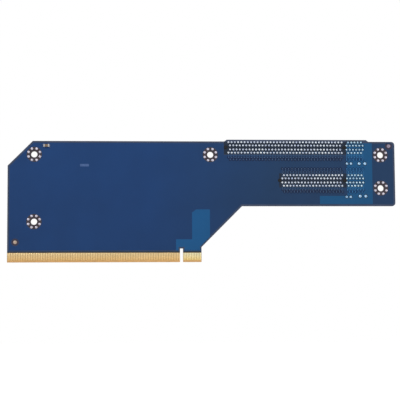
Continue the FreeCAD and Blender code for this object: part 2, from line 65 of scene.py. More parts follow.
(BOARD_LEFT, _, EDGE_LOW), (BOARD_RIGHT, FACE, TAB_TOP) = node_box("circuit_board")
TAB_RISE = 1.1
BOARD_TOP = TAB_TOP - TAB_RISE
TAB_LEFT, TAB_RIGHT, TAB_SLOPE = 26.5, 115.6, 1.5
TAB = ((TAB_RIGHT, BOARD_TOP), (TAB_RIGHT - TAB_SLOPE, TAB_TOP), (TAB_LEFT + TAB_SLOPE, TAB_TOP),
       (TAB_LEFT, BOARD_TOP))
HALF_KEY, KEY_TOP = 0.95, 8.25
TONGUE_RIGHT, TONGUE_TOP = 12.15, 9.0
ARM_LEFT, ARM_LOW = 37.2, 34.05
CHAMFER, ARM_CORNER = 15.1, 2.0
ARC_POINTS = 9
LEAD_IN_TOP, LEAD_IN_DEPTH = 1.1, 0.4
SCREW_HOLES = np.array(((-89.15, 65.6), (-89.15, 24.6), (17.87, 65.6), (122.95, 65.6),
                        (122.95, 45.1)))
SCREW_RADIUS = 1.9


def pointing(turn):
    """Unit vectors at angles from the first axis towards the second: (cosine, sine)."""
    return np.stack((np.cos(turn), np.sin(turn)), axis=-1)


def circle(radius, sides=48, centre=(0, 0)):
    """Outline of a circle: centre plus radius times evenly spaced unit vectors."""
    return centre + radius * pointing(np.linspace(0, 2 * np.pi, sides, endpoint=False))


def board_outline(low, top_run=TAB):
    """Outline of the board: contact edge at the given height, top edge with the given run in it.

    Straight runs from corner to corner, and a quarter circle at each corner of the arm: its
    centre plus the corner radius times cosine and sine.
    """
    quarter = np.linspace(0, np.pi / 2, ARC_POINTS)
    arc = ARM_CORNER * np.column_stack((np.sin(quarter), -np.cos(quarter)))
    inner = BOARD_RIGHT - ARM_CORNER
    return np.vstack((
        ((BOARD_LEFT, low), (-HALF_KEY, low), (-HALF_KEY, KEY_TOP), (HALF_KEY, KEY_TOP),
         (HALF_KEY, low), (TONGUE_RIGHT, low), (TONGUE_RIGHT, TONGUE_TOP), (ARM_LEFT, ARM_LOW)),
        arc + (inner, ARM_LOW + ARM_CORNER),
        arc[::-1] * (1, -1) + (inner, BOARD_TOP - ARM_CORNER),
        top_run, ((BOARD_LEFT + CHAMFER, BOARD_TOP), (BOARD_LEFT, BOARD_TOP - CHAMFER)),
    ))


def flat_plate(outlines, low, high):
    """Plate between y = low and y = high, filled inside each outline of (x, z) points.

    An outline that lies inside another one is a hole in it.
    """
    curve = bpy.data.curves.new("plate", "CURVE")
    curve.dimensions = "2D"
    curve.fill_mode = "BOTH"
    curve.extrude = (high - low) / 2
    for outline in outlines:
        spline = curve.splines.new("POLY")
        spline.points.add(len(outline) - 1)
        corners = np.column_stack((outline, np.zeros(len(outline)), np.ones(len(outline))))
        spline.points.foreach_set("co", corners.ravel())
        spline.use_cyclic_u = True
    holder = bpy.data.objects.new("plate", curve)
    filled = bpy.data.meshes.new_from_object(holder)
    form = bmesh.new()
    form.from_mesh(filled)
    upright = Matrix(((1, 0, 0), (0, 0, -1), (0, 1, 0))).to_4x4()
    form.transform(Matrix.Translation((0, (low + high) / 2, 0)) @ upright)
    bmesh.ops.remove_doubles(form, verts=form.verts, dist=0.0004)
    bpy.data.meshes.remove(filled)
    bpy.data.objects.remove(holder)
    bpy.data.curves.remove(curve)
    return form


def put_in_scene(name, data):
    """New object that shows the given mesh, lamp or camera."""
    thing = bpy.data.objects.new(name, data)
    bpy.context.scene.collection.objects.link(thing)
    return thing


def fit_piece(name, form, finish, slot, *stands_for, crease=40):
    """Piece of the card made from a form in millimetres: a bmesh, or its points and faces.

    Edges that turn by less than the crease angle, in degrees, are shaded as one surface.
    """
    mesh = bpy.data.meshes.new(name)
    if not isinstance(form, bmesh.types.BMesh):
        points, groups = form
        mesh.from_pydata(points.tolist(), [], [face for group in groups for face in group.tolist()])
        form = bmesh.new()
        form.from_mesh(mesh)
    bmesh.ops.recalc_face_normals(form, faces=form.faces)
    form.transform(Matrix.Scale(MM, 4))
    form.to_mesh(mesh)
    form.free()
    mesh.shade_smooth()
    mesh.set_sharp_from_angle(angle=np.radians(crease))
    mesh.materials.append(finish)
    piece = put_in_scene(name, mesh)
    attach(piece, "root")
    if stands_for:
        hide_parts(*stands_for)
    return piece


def printed(colour, share=1.0):
    """Linear colour of a share of an 8-bit one: the inverse of the screen's curve."""
    level = np.array(colour) * share / 255
    line = np.where(level <= 0.04045, level / 12.92, ((level + 0.055) / 1.055) ** 2.4)
    return (*line.tolist(), 1.0)


def new_finish(name, metallic=0.0, specular=0.5):
    """Material with its shader's own values set, ready for its clouds and bumps."""
    finish = bpy.data.materials.new(name)
    finish.use_nodes = True
    shader = finish.node_tree.nodes["Principled BSDF"]
    shader.inputs["Metallic"].default_value = metallic
    shader.inputs["Specular IOR Level"].default_value = specular
    return finish


def feed(finish, socket, source):
    """Wires a socket to another node's, or sets it where a plain value is given."""
    if isinstance(source, bpy.types.NodeSocket):
        finish.node_tree.links.new(source, socket)
    else:
        socket.default_value = source


def add_node(finish, kind, **wires):
    """Node of that kind whose named inputs are fed."""
    node = finish.node_tree.nodes.new("ShaderNode" + kind)
    for name, source in wires.items():
        feed(finish, node.inputs[name.replace("_", " ")], source)
    return node


def place_on(finish, stretch=(1, 1, 1)):
    """Place on the piece in millimetres, divided by the stretch along each axis."""
    here = add_node(finish, "TexCoord").outputs["Object"]
    scale = tuple((1 / MM / np.array(stretch)).tolist())
    return add_node(finish, "Mapping", Vector=here, Scale=scale).outputs["Vector"]


def along(finish, axis):
    """Place along one axis, in millimetres."""
    return add_node(finish, "SeparateXYZ", Vector=place_on(finish)).outputs[axis]


def clouds(finish, size, stretch=(1, 1, 1), detail=3.0):
    """Noise of about the given size in millimetres, from 0 to 1 about a middle of 0.5."""
    noise = add_node(finish, "TexNoise", Vector=place_on(finish, stretch), Scale=1 / size,
                     Detail=detail)
    return noise.outputs[0]


def spread(finish, source, low=0.0, high=1.0, start=0.3, end=0.7):
    """Value that goes from low to high while the source goes from start to end."""
    ramp = add_node(finish, "MapRange", Value=source, From_Min=start, From_Max=end, To_Min=low,
                    To_Max=high)
    return ramp.outputs["Result"]


def tint(finish, share, low, high):
    """Colour between two, by the share of the second."""
    mix = add_node(finish, "Mix")
    mix.data_type = "RGBA"
    sockets = [mix.inputs["Factor"]] + [item for item in mix.inputs if item.type == "RGBA"]
    for socket, source in zip(sockets, (share, low, high)):
        feed(finish, socket, source)
    return [item for item in mix.outputs if item.type == "RGBA"][0]


def reckon(finish, operation, first, second=0.0):
    """One step of arithmetic on two values."""
    step = add_node(finish, "Math")
    step.operation = operation
    for socket, source in zip(step.inputs, (first, second)):
        feed(finish, socket, source)
    return step.outputs["Value"]


def coat(finish, colour, rough, grain, depth, bumps=None):
    """Colour, roughness spread over a grain, and bumps of that grain or of others.

    The bumps' depth is in millimetres.
    """
    bump = add_node(finish, "Bump", Height=bumps or grain, Distance=depth * MM)
    shader = finish.node_tree.nodes["Principled BSDF"].inputs
    for name, source in (("Base Color", colour), ("Roughness", spread(finish, grain, *rough)),
                         ("Normal", bump.outputs["Normal"])):
        feed(finish, shader[name], source)
    return finish


THREAD_PITCH = 0.55


def weave(finish):
    """Cloth that shows through: sine waves along X times sine waves along Z, 0 to 1."""
    turns = 2 * np.pi / THREAD_PITCH
    warp, weft = [reckon(finish, "SINE", reckon(finish, "MULTIPLY", along(finish, axis), turns))
                  for axis in "XZ"]
    return spread(finish, reckon(finish, "MULTIPLY", warp, weft), 0.0, 1.0, -1.0, 1.0)


LACQUER_LOW, FACE_DEPTH = 5.85, 0.02
# heights over the lacquer's lower edge between which its painted shade fades out
EDGE_SHADE_START, EDGE_SHADE_END = 0.4, 1.0
BARE_LACQUER = (60, 71, 94)
# colour of the painted shade along the lacquer's lower edge
LACQUER_EDGE_SHADE = (42, 54, 52)
LAMINATE = (168, 138, 94)
ROUTED_EDGE = (92, 90, 82)
FRESH_CUT = (236, 185, 122)

sheet = new_finish("lacquered_laminate", specular=0.16)
up_the_board = along(sheet, "Z")
from_middle = reckon(sheet, "ABSOLUTE", along(sheet, "Y"))
on_face = reckon(sheet, "GREATER_THAN", from_middle, FACE - FACE_DEPTH)
above_contacts = reckon(sheet, "GREATER_THAN", up_the_board, LACQUER_LOW)
under_lacquer = reckon(sheet, "MULTIPLY", on_face, above_contacts)
glass_layers = clouds(sheet, 0.5, stretch=(6, 0.35, 6), detail=4.0)
ground_slope = reckon(sheet, "LESS_THAN", up_the_board, LEAD_IN_TOP)
laminate_colour = tint(sheet, on_face, printed(ROUTED_EDGE), printed(LAMINATE))
laminate_colour = tint(sheet, ground_slope, laminate_colour, printed(FRESH_CUT))
laminate_colour = tint(sheet, spread(sheet, glass_layers, 0.0, 0.4), laminate_colour,
                       printed(LAMINATE, 0.8))
lacquer_drift = spread(sheet, clouds(sheet, 9.0))
lacquer_colour = tint(sheet, lacquer_drift, printed(BARE_LACQUER, 0.92),
                      printed(BARE_LACQUER, 1.08))
# painted shade: a darker band is painted along the lacquer's lower edge, just above the edge
# contacts
lip = spread(sheet, up_the_board, 1.0, 0.0, LACQUER_LOW + EDGE_SHADE_START, LACQUER_LOW + EDGE_SHADE_END)
lacquer_colour = tint(sheet, lip, lacquer_colour, printed(LACQUER_EDGE_SHADE))
gloss = reckon(sheet, "ADD", glass_layers, under_lacquer)
coat(sheet, tint(sheet, under_lacquer, laminate_colour, lacquer_colour),
     (0.75, 0.36, 0.4, 1.4), gloss, 0.008, reckon(sheet, "ADD", weave(sheet), glass_layers))

# the slots' keys stand in line, each slot's pegs go through the board at its key and near its
# left end, and its outer and inner tails take turns along it
PITCH, FIRST_SEAT, SHORT_SIDE = 1.0, 1.5, 11
KEY_FROM_END = 14.5
SLOT_KEY = node_box("x16_slot_housing")[1, 0] - KEY_FROM_END
PEG_INSET, PEG_HOLE, PEG_HOLE_SIDES = 1.35, 1.14, 24


def seats(key, long_side):
    """x of the contacts on the left of a key and of those on its right, a pitch apart."""
    return (key - FIRST_SEAT - PITCH * np.arange(long_side),
            key + FIRST_SEAT + PITCH * np.arange(SHORT_SIDE))


def fitted_slot(name, long_side):
    """One slot: its housing's ends and sides, its middle's height, its pegs and its tails."""
    (left, _, low), (right, _, high) = node_box(name + "_slot_housing")
    height = (low + high) / 2
    to_left, to_right = seats(SLOT_KEY, long_side)
    return SimpleNamespace(
        name=name, long_side=long_side, left=left, right=right, low=low, high=high,
        height=height, pegs=((SLOT_KEY, height), (left + PEG_INSET, height)),
        outer=np.concatenate((to_left[::2], to_right[1::2])),
        inner=np.concatenate((to_left[1::2], to_right[::2])))


x16, x8 = SLOTS = fitted_slot("x16", 71), fitted_slot("x8", 38)
board = flat_plate([board_outline(EDGE_LOW)]
                   + [circle(SCREW_RADIUS, centre=centre) for centre in SCREW_HOLES]
                   + [circle(PEG_HOLE, PEG_HOLE_SIDES, peg) for slot in SLOTS for peg in slot.pegs],
                   -FACE, FACE)
bmesh.ops.bisect_plane(board, geom=board.verts[:] + board.edges[:] + board.faces[:],
                       plane_co=(0, 0, LEAD_IN_TOP), plane_no=(0, 0, 1), dist=0.0001)
for corner in board.verts:
    if corner.co.z < EDGE_LOW + LEAD_IN_TOP / 2:
        corner.co.y *= (FACE - LEAD_IN_DEPTH) / FACE
fit_piece("laminate", board, sheet, "mask", "circuit_board")


# ---- Copper under the lacquer ----
# Etched copper foil on both outer faces, kept back from the board's edges, holes and slots, and
# coated with the same lacquer, which looks bluer over copper.  Two broad supply areas on the
# solder side are bluer still.
SOLDER_SIDE, PARTS_SIDE = -1, 1
SIDES = (("solder_side", SOLDER_SIDE), ("component_side", PARTS_SIDE))
SUNK = 0.02
LACQUER_STANDS, COPPER_STANDS, SUPPLY_STANDS = 0.012, 0.02, 0.03
COPPER_BACK, COPPER_LOW = 1.1, 6.0
RING_CLEAR, MARK_CLEAR, MARK_SIDES = 4.65, 2.3, 32
VIA_CLEAR, VIA_CLEAR_SIDES, VIA_GAP = 0.84, 18, 0.01
MARKS = np.array(((-100.4, 12.15), (128.2, 71.15)))
TONGUE_TO_ARM_CHANGE, LIGHTER_UP_BOARD = (-20.0, 60.0), (10.0, 72.0)
DARKER, LIGHTER, THREADS = 0.94, 1.08, 0.88


def lacquered(name, tongue_shade, arm_shade, roughness=0.38):
    """Blue lacquer over copper: one shade over the tongue, another over the arm.

    The shade drifts a little from place to place and is lighter towards the top of the
    board.  The weave of the glass shows through.
    """
    finish = new_finish(name, specular=0.16)
    over_arm = spread(finish, along(finish, "X"), 0.0, 1.0, *TONGUE_TO_ARM_CHANGE)
    dark, light, threaded = [
        tint(finish, over_arm, printed(tongue_shade, share), printed(arm_shade, share))
        for share in (DARKER, LIGHTER, THREADS)]
    drift = spread(finish, clouds(finish, 22.0, detail=2.0), 0.0, 0.5)
    lighter_up_board = spread(finish, along(finish, "Z"), 0.0, 0.5, *LIGHTER_UP_BOARD)
    colour = tint(finish, reckon(finish, "ADD", drift, lighter_up_board), dark, light)
    threads = weave(finish)
    colour = tint(finish, reckon(finish, "MULTIPLY", threads, 0.5), colour, threaded)
    flow = clouds(finish, 1.4, detail=2.0)
    return coat(finish, colour, (roughness - 0.06, roughness + 0.06), flow, 0.006,
                reckon(finish, "ADD", reckon(finish, "MULTIPLY", threads, 0.35), flow))


def foil(outlines, height, side):
    """Plate laid on one side of the board and sunk a little into it."""
    low, high = sorted((side * (FACE - SUNK), side * (FACE + height)))
    return flat_plate(outlines, low, high)


def left_of(run):
    """Unit vectors square to runs of (x, z), on their left."""
    return (np.stack((-run[..., 1], run[..., 0]), axis=-1)
            / np.linalg.norm(run, axis=-1, keepdims=True))


def mitre(before, after):
    """Where two edges meet when each is moved by its own unit normal: sum / (1 + product)."""
    return (before + after) / (1 + np.sum(before * after, axis=-1, keepdims=True))


def drawn_in(outline, margin):
    """Outline moved inwards: each corner by the mitre of its edges' normals."""
    normal = left_of(np.roll(outline, -1, axis=0) - outline)
    return outline + margin * mitre(np.roll(normal, 1, axis=0), normal)


def box_outline(left, right, low, high):
    """Corners of an upright rectangle, counter-clockwise."""
    return np.array(((left, low), (right, low), (right, high), (left, high)))


def runs_from(across, offsets, heights):
    """Paths that start at each x and pass its offsets at the given heights."""
    across = np.asarray(across)[:, None] + np.asarray(offsets)[None, :]
    return np.stack((across, np.broadcast_to(heights, across.shape)), axis=-1)


# runs from the slots' tails to small filled holes, two staggered rows of them below each slot
# and two above the lower one: x, slot's height, then offsets along X and heights from the slot
RUNS = ((x16.outer, x16.height, (0, 0), (-3.7, -6.2)),
        (x16.inner, x16.height, (0, 0), (-1.7, -7.6)),
        (x8.inner, x8.height, (0, 0, 0.3), (-1.7, -4.6, -5.8)),
        (x8.outer, x8.height, (0, 0, 0.3), (-3.7, -4.6, -7.1)),
        (x8.outer, x8.height, (0, 0), (3.7, 5.3)),
        (x8.inner, x8.height, (0, 0), (1.7, 7.2)))
runs = [runs_from(across, offsets, height + np.array(rises))
        for across, height, offsets, rises in RUNS]
VIA_PLACES = np.vstack([paths[:, -1] for paths in runs])

# the copper leaves out the upper slot's field, up to the top edge, and the lower slot's
FIELD_SIDE = 4.35
UPPER_IN_LEFT, UPPER_IN_RIGHT, UPPER_IN_LOW = 1.2, 1.9, 0.8
LOWER_IN_LEFT, LOWER_IN_RIGHT = 1.0, 1.1
field_left, field_right = x16.left + UPPER_IN_LEFT, x16.right - UPPER_IN_RIGHT
field_low = x16.height - FIELD_SIDE + UPPER_IN_LOW
upper_field = ((field_right, BOARD_TOP), (field_right, field_low), (field_left, field_low),
               (field_left, BOARD_TOP))
lower_field = box_outline(x8.left + LOWER_IN_LEFT, x8.right - LOWER_IN_RIGHT,
                          x8.height - FIELD_SIDE, x8.height + FIELD_SIDE)
copper_edge = drawn_in(board_outline(COPPER_LOW, upper_field), COPPER_BACK)
via_holes = [circle(VIA_CLEAR, VIA_CLEAR_SIDES, centre) for centre in VIA_PLACES]
mark_holes = [circle(MARK_CLEAR, MARK_SIDES, centre) for centre in MARKS]
copper_outlines = [copper_edge] + [circle(RING_CLEAR, centre=centre) for centre in SCREW_HOLES]
copper_outlines += [lower_field] + via_holes
copper_finish = lacquered("lacquer_over_copper", (26, 62, 112), (31, 59, 94))
supply_finish = lacquered("lacquer_over_supply_copper", (27, 90, 145), (25, 83, 128), 0.34)
for (word, side), holes in zip(SIDES, (mark_holes, [])):
    fit_piece(word + "_copper", foil(copper_outlines + holes, COPPER_STANDS, side),
              copper_finish, "mask")

KEY_SUPPLY = np.array(((-3.3, 6.9), (-1.8, 6.9), (-1.8, 9.1), (1.8, 9.1), (1.8, 6.9),
                       (11.3, 6.9), (11.3, 9.3), (17.4, 15.4), (17.4, 32.0), (9.0, 32.0),
                       (6.5, 30.0), (6.5, 13.8), (-3.3, 13.8)))
SUPPLY_LEFT, SUPPLY_RIGHT, SUPPLY_LOW, SUPPLY_HIGH = 102.0, 117.8, 35.3, 72.9
FOOT_LEFT, FOOT_HIGH = 85.1, 40.3
# the arm's supply area goes round the small holes that stand in the way of its left edge
in_the_way = VIA_PLACES[np.abs(VIA_PLACES[:, 0] - SUPPLY_LEFT) < VIA_CLEAR]
in_the_way = in_the_way[np.argsort(-in_the_way[:, 1])]
half_turn = np.linspace(0, np.pi, ARC_POINTS)
bays = in_the_way[:, None] + VIA_CLEAR * np.column_stack((np.sin(half_turn), np.cos(half_turn)))
bays = np.maximum(bays, (SUPPLY_LEFT, 0)).reshape(-1, 2)
arm_supply = np.vstack((((FOOT_LEFT, SUPPLY_LOW), (SUPPLY_RIGHT, SUPPLY_LOW),
                         (SUPPLY_RIGHT, SUPPLY_HIGH), (SUPPLY_LEFT, SUPPLY_HIGH)), bays,
                        ((SUPPLY_LEFT, FOOT_HIGH), (FOOT_LEFT, FOOT_HIGH))))
arm_holes = [hole for hole in via_holes if hole[:, 0].min() > SUPPLY_LEFT]
for name, outlines in (("key_supply_copper", [KEY_SUPPLY]),
                       ("arm_supply_copper", [arm_supply] + arm_holes)):
    fit_piece(name, foil(outlines, SUPPLY_STANDS, SOLDER_SIDE), supply_finish, "mask")


def mottled(name, size, low, high, rough, depth, bumps=None, detail=3.0, specular=0.5):
    """Finish whose colour and roughness drift together, each between two values.

    Its bumps are made by the given function of the finish, or by the same drift.
    """
    finish = new_finish(name, specular=specular)
    drift = clouds(finish, size, detail=detail)
    colour = tint(finish, spread(finish, drift), printed(low), printed(high))
    return coat(finish, colour, rough, drift, depth, bumps(finish) if bumps else drift)


# painted shade: bare laminate in front of the black housings is painted darker than at the board's
# rim, as the housings behind it keep light from coming through
FIELD_INSET, FIELD_TOP_INSET = 0.2, 0.3
shaded_field_finish = mottled("lacquer_before_housings", 5.0, (30.6, 39.6, 54), (37.4, 48.4, 66),
                       (0.36, 0.5), 0.006, weave, specular=0.14)
for name, slot, high in (("upper_bare_field", x16, BOARD_TOP - FIELD_TOP_INSET),
                         ("lower_bare_field", x8, x8.height + FIELD_SIDE)):
    field = box_outline(slot.left + FIELD_INSET, SUPPLY_LEFT, slot.height - FIELD_SIDE, high)
    pegs = [circle(PEG_HOLE, PEG_HOLE_SIDES, peg) for peg in slot.pegs]
    fit_piece(name, foil([field] + pegs, LACQUER_STANDS, SOLDER_SIDE), shaded_field_finish, "mask")


def skin(rings):
    """Points and faces of forms given as rings, an array (copies, stations, around, xyz).

    Neighbouring stations are joined by four-sided faces and both end stations are closed.
    """
    copies, stations, around, _ = rings.shape
    number = np.arange(copies * stations * around).reshape(copies, stations, around)
    beside = np.roll(number, -1, axis=2)
    sides = np.stack((number[:, :-1], beside[:, :-1], beside[:, 1:], number[:, 1:]), axis=-1)
    return rings.reshape(-1, 3), [sides.reshape(-1, 4), number[:, 0], number[:, -1]]


def on_board(flat, height, side):
    """Points (x, z) lifted over one side of the board: y = side * (FACE + height)."""
    level = np.broadcast_to(side * (FACE + np.asarray(height)), flat.shape[:-1])
    return np.stack((flat[..., 0], level, flat[..., 1]), axis=-1)


def raised(centres, outline, steps, side):
    """Copies of a form that stands on one side of the board.

    A step is one share, or one along X and one along Z, and a height over the board:
    x, z = centre + share * outline.
    """
    steps = np.array([(step[0], *step[-2:]) for step in steps])
    flat = np.array(centres)[:, None, None] + steps[:, None, :2] * outline
    return skin(on_board(flat, steps[:, 2:], side))


def discs(centres, radius, sides, height, side=SOLDER_SIDE):
    """Thin round plates laid on the board and sunk a little into it."""
    return raised(centres, circle(radius, sides), ((1, -SUNK), (1, height)), side)


over_supply = VIA_PLACES[:, 0] > SUPPLY_LEFT
clearance_finish = lacquered("lacquer_round_vias", (0, 8, 52), (0, 8, 44))
supply_clearance_finish = lacquered("lacquer_round_supply_vias", (0, 36, 74), (0, 36, 78))
for name, places, finish, side in (
        ("via_clearances", VIA_PLACES[~over_supply], clearance_finish, SOLDER_SIDE),
        ("supply_via_clearances", VIA_PLACES[over_supply], supply_clearance_finish, SOLDER_SIDE),
        ("component_side_via_clearances", VIA_PLACES, clearance_finish, PARTS_SIDE)):
    fit_piece(name, discs(places, VIA_CLEAR - VIA_GAP, VIA_CLEAR_SIDES, LACQUER_STANDS, side),
              finish, "mask")


# ---- Edge contacts ----
# Hard gold over nickel on copper, one row on each face of the contact edge.  Plugging in rubs
# fine upright scratches into them.
LONG_EDGE = 104
FINGER_WIDTH, FINGER_LOW, FINGER_TOP = 0.7, 1.1, 5.52
FINGER_STANDS, FINGER_CORNER = 0.05, 0.12
# the plating's colour at its lower end, and its painted highlight at its upper end
GOLD_LOW, GOLD_HIGHLIGHT = (220, 178, 112), (210, 190, 144)
# the same for the short row, painted brighter as lit
SHORT_ROW_LIT_LOW, SHORT_ROW_HIGHLIGHT = (234, 203, 122), (220, 222, 186)
GOLD_BLUSH, GOLD_RUBBED = (240, 206, 160), (180, 140, 90)


def rounded_box(width, height, corner, sides=3):
    """Outline of a rectangle about its centre with a quarter circle in each corner."""
    turn = (np.arange(4)[:, None] * np.pi / 2 + np.linspace(0, np.pi / 2, sides + 1)).ravel()
    corners = np.repeat(np.array(((1, 1), (-1, 1), (-1, -1), (1, -1))), sides + 1, axis=0)
    return corners * (width / 2 - corner, height / 2 - corner) + corner * pointing(turn)


def row(across, height):
    """Places (x, z) at one height, one for each x."""
    return np.column_stack((across, np.full(len(across), height)))


gold = new_finish("hard_gold", metallic=1.0)
rubbed = clouds(gold, 0.35, stretch=(0.5, 1, 14))
gold_drift = clouds(gold, 9.0, stretch=(1, 1, 0.6), detail=2.0)
# painted highlight: the plating is painted paler towards its upper end, and the short row is
# painted brighter and yellower, as lit
highlight_up_finger = spread(gold, along(gold, "Z"), 0.0, 1.0, FINGER_LOW, FINGER_TOP)
lit_short_row = reckon(gold, "GREATER_THAN", along(gold, "X"), 0.0)
gold_low = tint(gold, lit_short_row, printed(GOLD_LOW), printed(SHORT_ROW_LIT_LOW))
gold_highlight = tint(gold, lit_short_row, printed(GOLD_HIGHLIGHT), printed(SHORT_ROW_HIGHLIGHT))
gold_colour = tint(gold, highlight_up_finger, gold_low, gold_highlight)
for marks, colour in ((gold_drift, GOLD_BLUSH), (rubbed, GOLD_RUBBED)):
    gold_colour = tint(gold, spread(gold, marks, 0.0, 0.22), gold_colour, printed(colour))
coat(gold, gold_colour, (0.26, 0.4), rubbed, 0.002)

finger_across = np.concatenate(seats(0.0, LONG_EDGE))
finger_outline = rounded_box(FINGER_WIDTH, FINGER_TOP - FINGER_LOW, FINGER_CORNER)
finger_steps = ((1, -SUNK), (1, 0.6 * FINGER_STANDS), (0.93, 0.99, FINGER_STANDS))
for word, side in SIDES:
    fingers = raised(row(finger_across, (FINGER_LOW + FINGER_TOP) / 2), finger_outline,
                     finger_steps, side)
    fit_piece(word + "_edge_contacts", fingers, gold, "gold", word + "_fingers")


# ---- Traces ----
# Narrow copper runs under the lacquer: a neck above every edge contact, and the runs that fan
# out beside the slots' solder joints to small filled holes that take them to inner layers.
NECK_GAP, NECK_TOP = 0.1, 7.7
TRACE_WIDTH, TRACE_STANDS, TRACE_TAPER = 0.22, 0.036, 0.8
VIA_RADIUS = 0.38


def trace_strips(paths, side):
    """Flat strips along paths of (x, z) points, an array (copies, stations, 2).

    Each station's two edges lie half a width to the sides of the run, by the mitre of the
    runs before and after it, at the board's face and, a little closer, at the copper's height.
    """
    normal = left_of(np.diff(paths, axis=1))
    out = TRACE_WIDTH / 2 * mitre(np.concatenate((normal[:, :1], normal), axis=1),
                                  np.concatenate((normal, normal[:, -1:]), axis=1))
    flat = np.stack([paths + share * out for share in (1, -1, -TRACE_TAPER, TRACE_TAPER)], axis=2)
    return skin(on_board(flat, (-SUNK, -SUNK, TRACE_STANDS, TRACE_STANDS), side))


def joined(*forms):
    """Several pairs of points and faces as one: later faces count on from earlier points."""
    starts = np.cumsum([0] + [len(points) for points, groups in forms])
    return (np.vstack([points for points, groups in forms]),
            [group + start for start, (points, groups) in zip(starts, forms) for group in groups])


def vias(places, side):
    """Small holes filled level and lacquered over: a rim that dips to the middle."""
    return raised(places, circle(VIA_RADIUS, 12),
                  ((1, -SUNK), (1, TRACE_STANDS), (0.7, 0.045), (0.3, 0.03)), side)


trace_finish = lacquered("lacquer_over_traces", (58, 92, 140), (68, 96, 130), 0.34)
supply_trace_finish = lacquered("lacquer_over_supply_traces", (56, 128, 184), (58, 124, 176), 0.34)
necks = runs_from(finger_across, (0, 0), (FINGER_TOP + NECK_GAP, NECK_TOP))
for word, side in SIDES:
    fit_piece(word + "_necks", trace_strips(necks, side), copper_finish, "mask")
fit_piece("component_side_vias", vias(VIA_PLACES, PARTS_SIDE), trace_finish, "mask")
for name, finish, supplied in (("solder_side_traces", trace_finish, False),
                               ("supply_traces", supply_trace_finish, True)):
    strips = [trace_strips(paths[(paths[:, 0, 0] > SUPPLY_LEFT) == supplied], SOLDER_SIDE)
              for paths in runs]
    filled_holes = vias(VIA_PLACES[over_supply == supplied], SOLDER_SIDE)
    fit_piece(name, joined(*strips, filled_holes), finish, "mask")


# ---- Screw-hole rings ----
# Round each screw hole the copper is bare of blue lacquer and dark, with eight lands on it.
# They are tinned when the card passes the solder wave, and earth the screw's head.
RING_INNER, RING_OUTER, RING_STANDS = 1.93, 4.55, 0.015
LANDS, LAND_RING, LAND_RADIUS, LAND_HEIGHT = 8, 3.7, 0.8, 0.35


def band(outer, inner, height, side):
    """Flat band between two outlines: neighbouring sections joined by four-sided faces.

    A section goes from the outer outline up to the height, across to the inner one and down.
    """
    flat = np.stack((outer, outer, inner, inner), axis=1)
    points = on_board(flat, (-SUNK, height, height, -SUNK), side)
    number = np.arange(4 * len(outer)).reshape(-1, 4)
    ahead = np.roll(number, -1, axis=0)
    faces = np.stack((number, ahead, np.roll(ahead, -1, axis=1), np.roll(number, -1, axis=1)),
                     axis=-1)
    return points.reshape(-1, 3), [faces.reshape(-1, 4)]


def fine_grain(finish):
    """Close grain for the bumps of a dull face."""
    return clouds(finish, 0.3)


def solder(name, low, high, grain_depth=0.01, patch=1.6):
    """Frozen tin: bright metal with fine grain and faint patches of flux left on it."""
    finish = new_finish(name, metallic=1.0)
    grain = clouds(finish, 0.12, detail=2.0)
    patches = spread(finish, clouds(finish, patch, detail=2.0))
    return coat(finish, tint(finish, patches, printed(low), printed(high)), (0.26, 0.46), grain,
                grain_depth)


ring_finish = mottled("dark_ring", 1.1, (52, 47, 54), (74, 65, 72), (0.42, 0.6), 0.006, fine_grain,
                      specular=0.2)
for word, side in SIDES:
    rings = [band(circle(RING_OUTER, centre=centre), circle(RING_INNER, centre=centre),
                  RING_STANDS, side) for centre in SCREW_HOLES]
    fit_piece(word + "_rings", joined(*rings), ring_finish, "mask")

land_turn = (np.arange(LANDS) + 0.5) * 2 * np.pi / LANDS
land_places = (SCREW_HOLES[:, None] + LAND_RING * pointing(land_turn)).reshape(-1, 2)
land_steps = ((1, -SUNK), (1, 0.1), (0.95, 0.19), (0.78, 0.27), (0.45, 0.33), (0.14, LAND_HEIGHT))
land_finish = solder("tinned_lands", (168, 165, 176), (192, 186, 197))
for (word, side), stands_for in zip(SIDES, (["solder_side_screw_lands"], [])):
    fit_piece(word + "_lands", raised(land_places, circle(LAND_RADIUS, 16), land_steps, side),
              land_finish, "solder", *stands_for)


# ---- Sighting marks ----
# Two bare copper dots, tinned thinly, in round openings of the lacquer.  The placing machine
# sights on them.  Round each the bare laminate shows.
MARK_RADIUS, MARK_GAP, OPENING_STANDS = 1.08, 0.1, 0.01
LEFT_MARK, RIGHT_MARK, MARK_TARNISH = (178, 158, 142), (138, 130, 150), (132, 112, 106)
copper = new_finish("tarnished_copper", metallic=0.7)
mark_clouds = clouds(copper, 0.7)
to_the_right = spread(copper, along(copper, "X"), 0.0, 1.0, -20.0, 20.0)
mark_colour = tint(copper, to_the_right, printed(LEFT_MARK), printed(RIGHT_MARK))
mark_colour = tint(copper, spread(copper, mark_clouds, 0.0, 0.4), mark_colour,
                   printed(MARK_TARNISH))
coat(copper, mark_colour, (0.32, 0.5), mark_clouds, 0.005)
mark_steps = ((1, -SUNK), (1, 0.03), (0.95, 0.05))
fit_piece("bare_marks", raised(MARKS, circle(MARK_RADIUS, 24), mark_steps, SOLDER_SIDE),
          copper, "bare_copper", "sighting_marks")
opening_finish = mottled("bare_laminate", 0.8, (52, 52, 70), (68, 62, 76), (0.42, 0.6), 0.006,
                         fine_grain, specular=0.14)
fit_piece("mark_openings", discs(MARKS, MARK_CLEAR - MARK_GAP, MARK_SIDES, OPENING_STANDS),
          opening_finish, "mask")


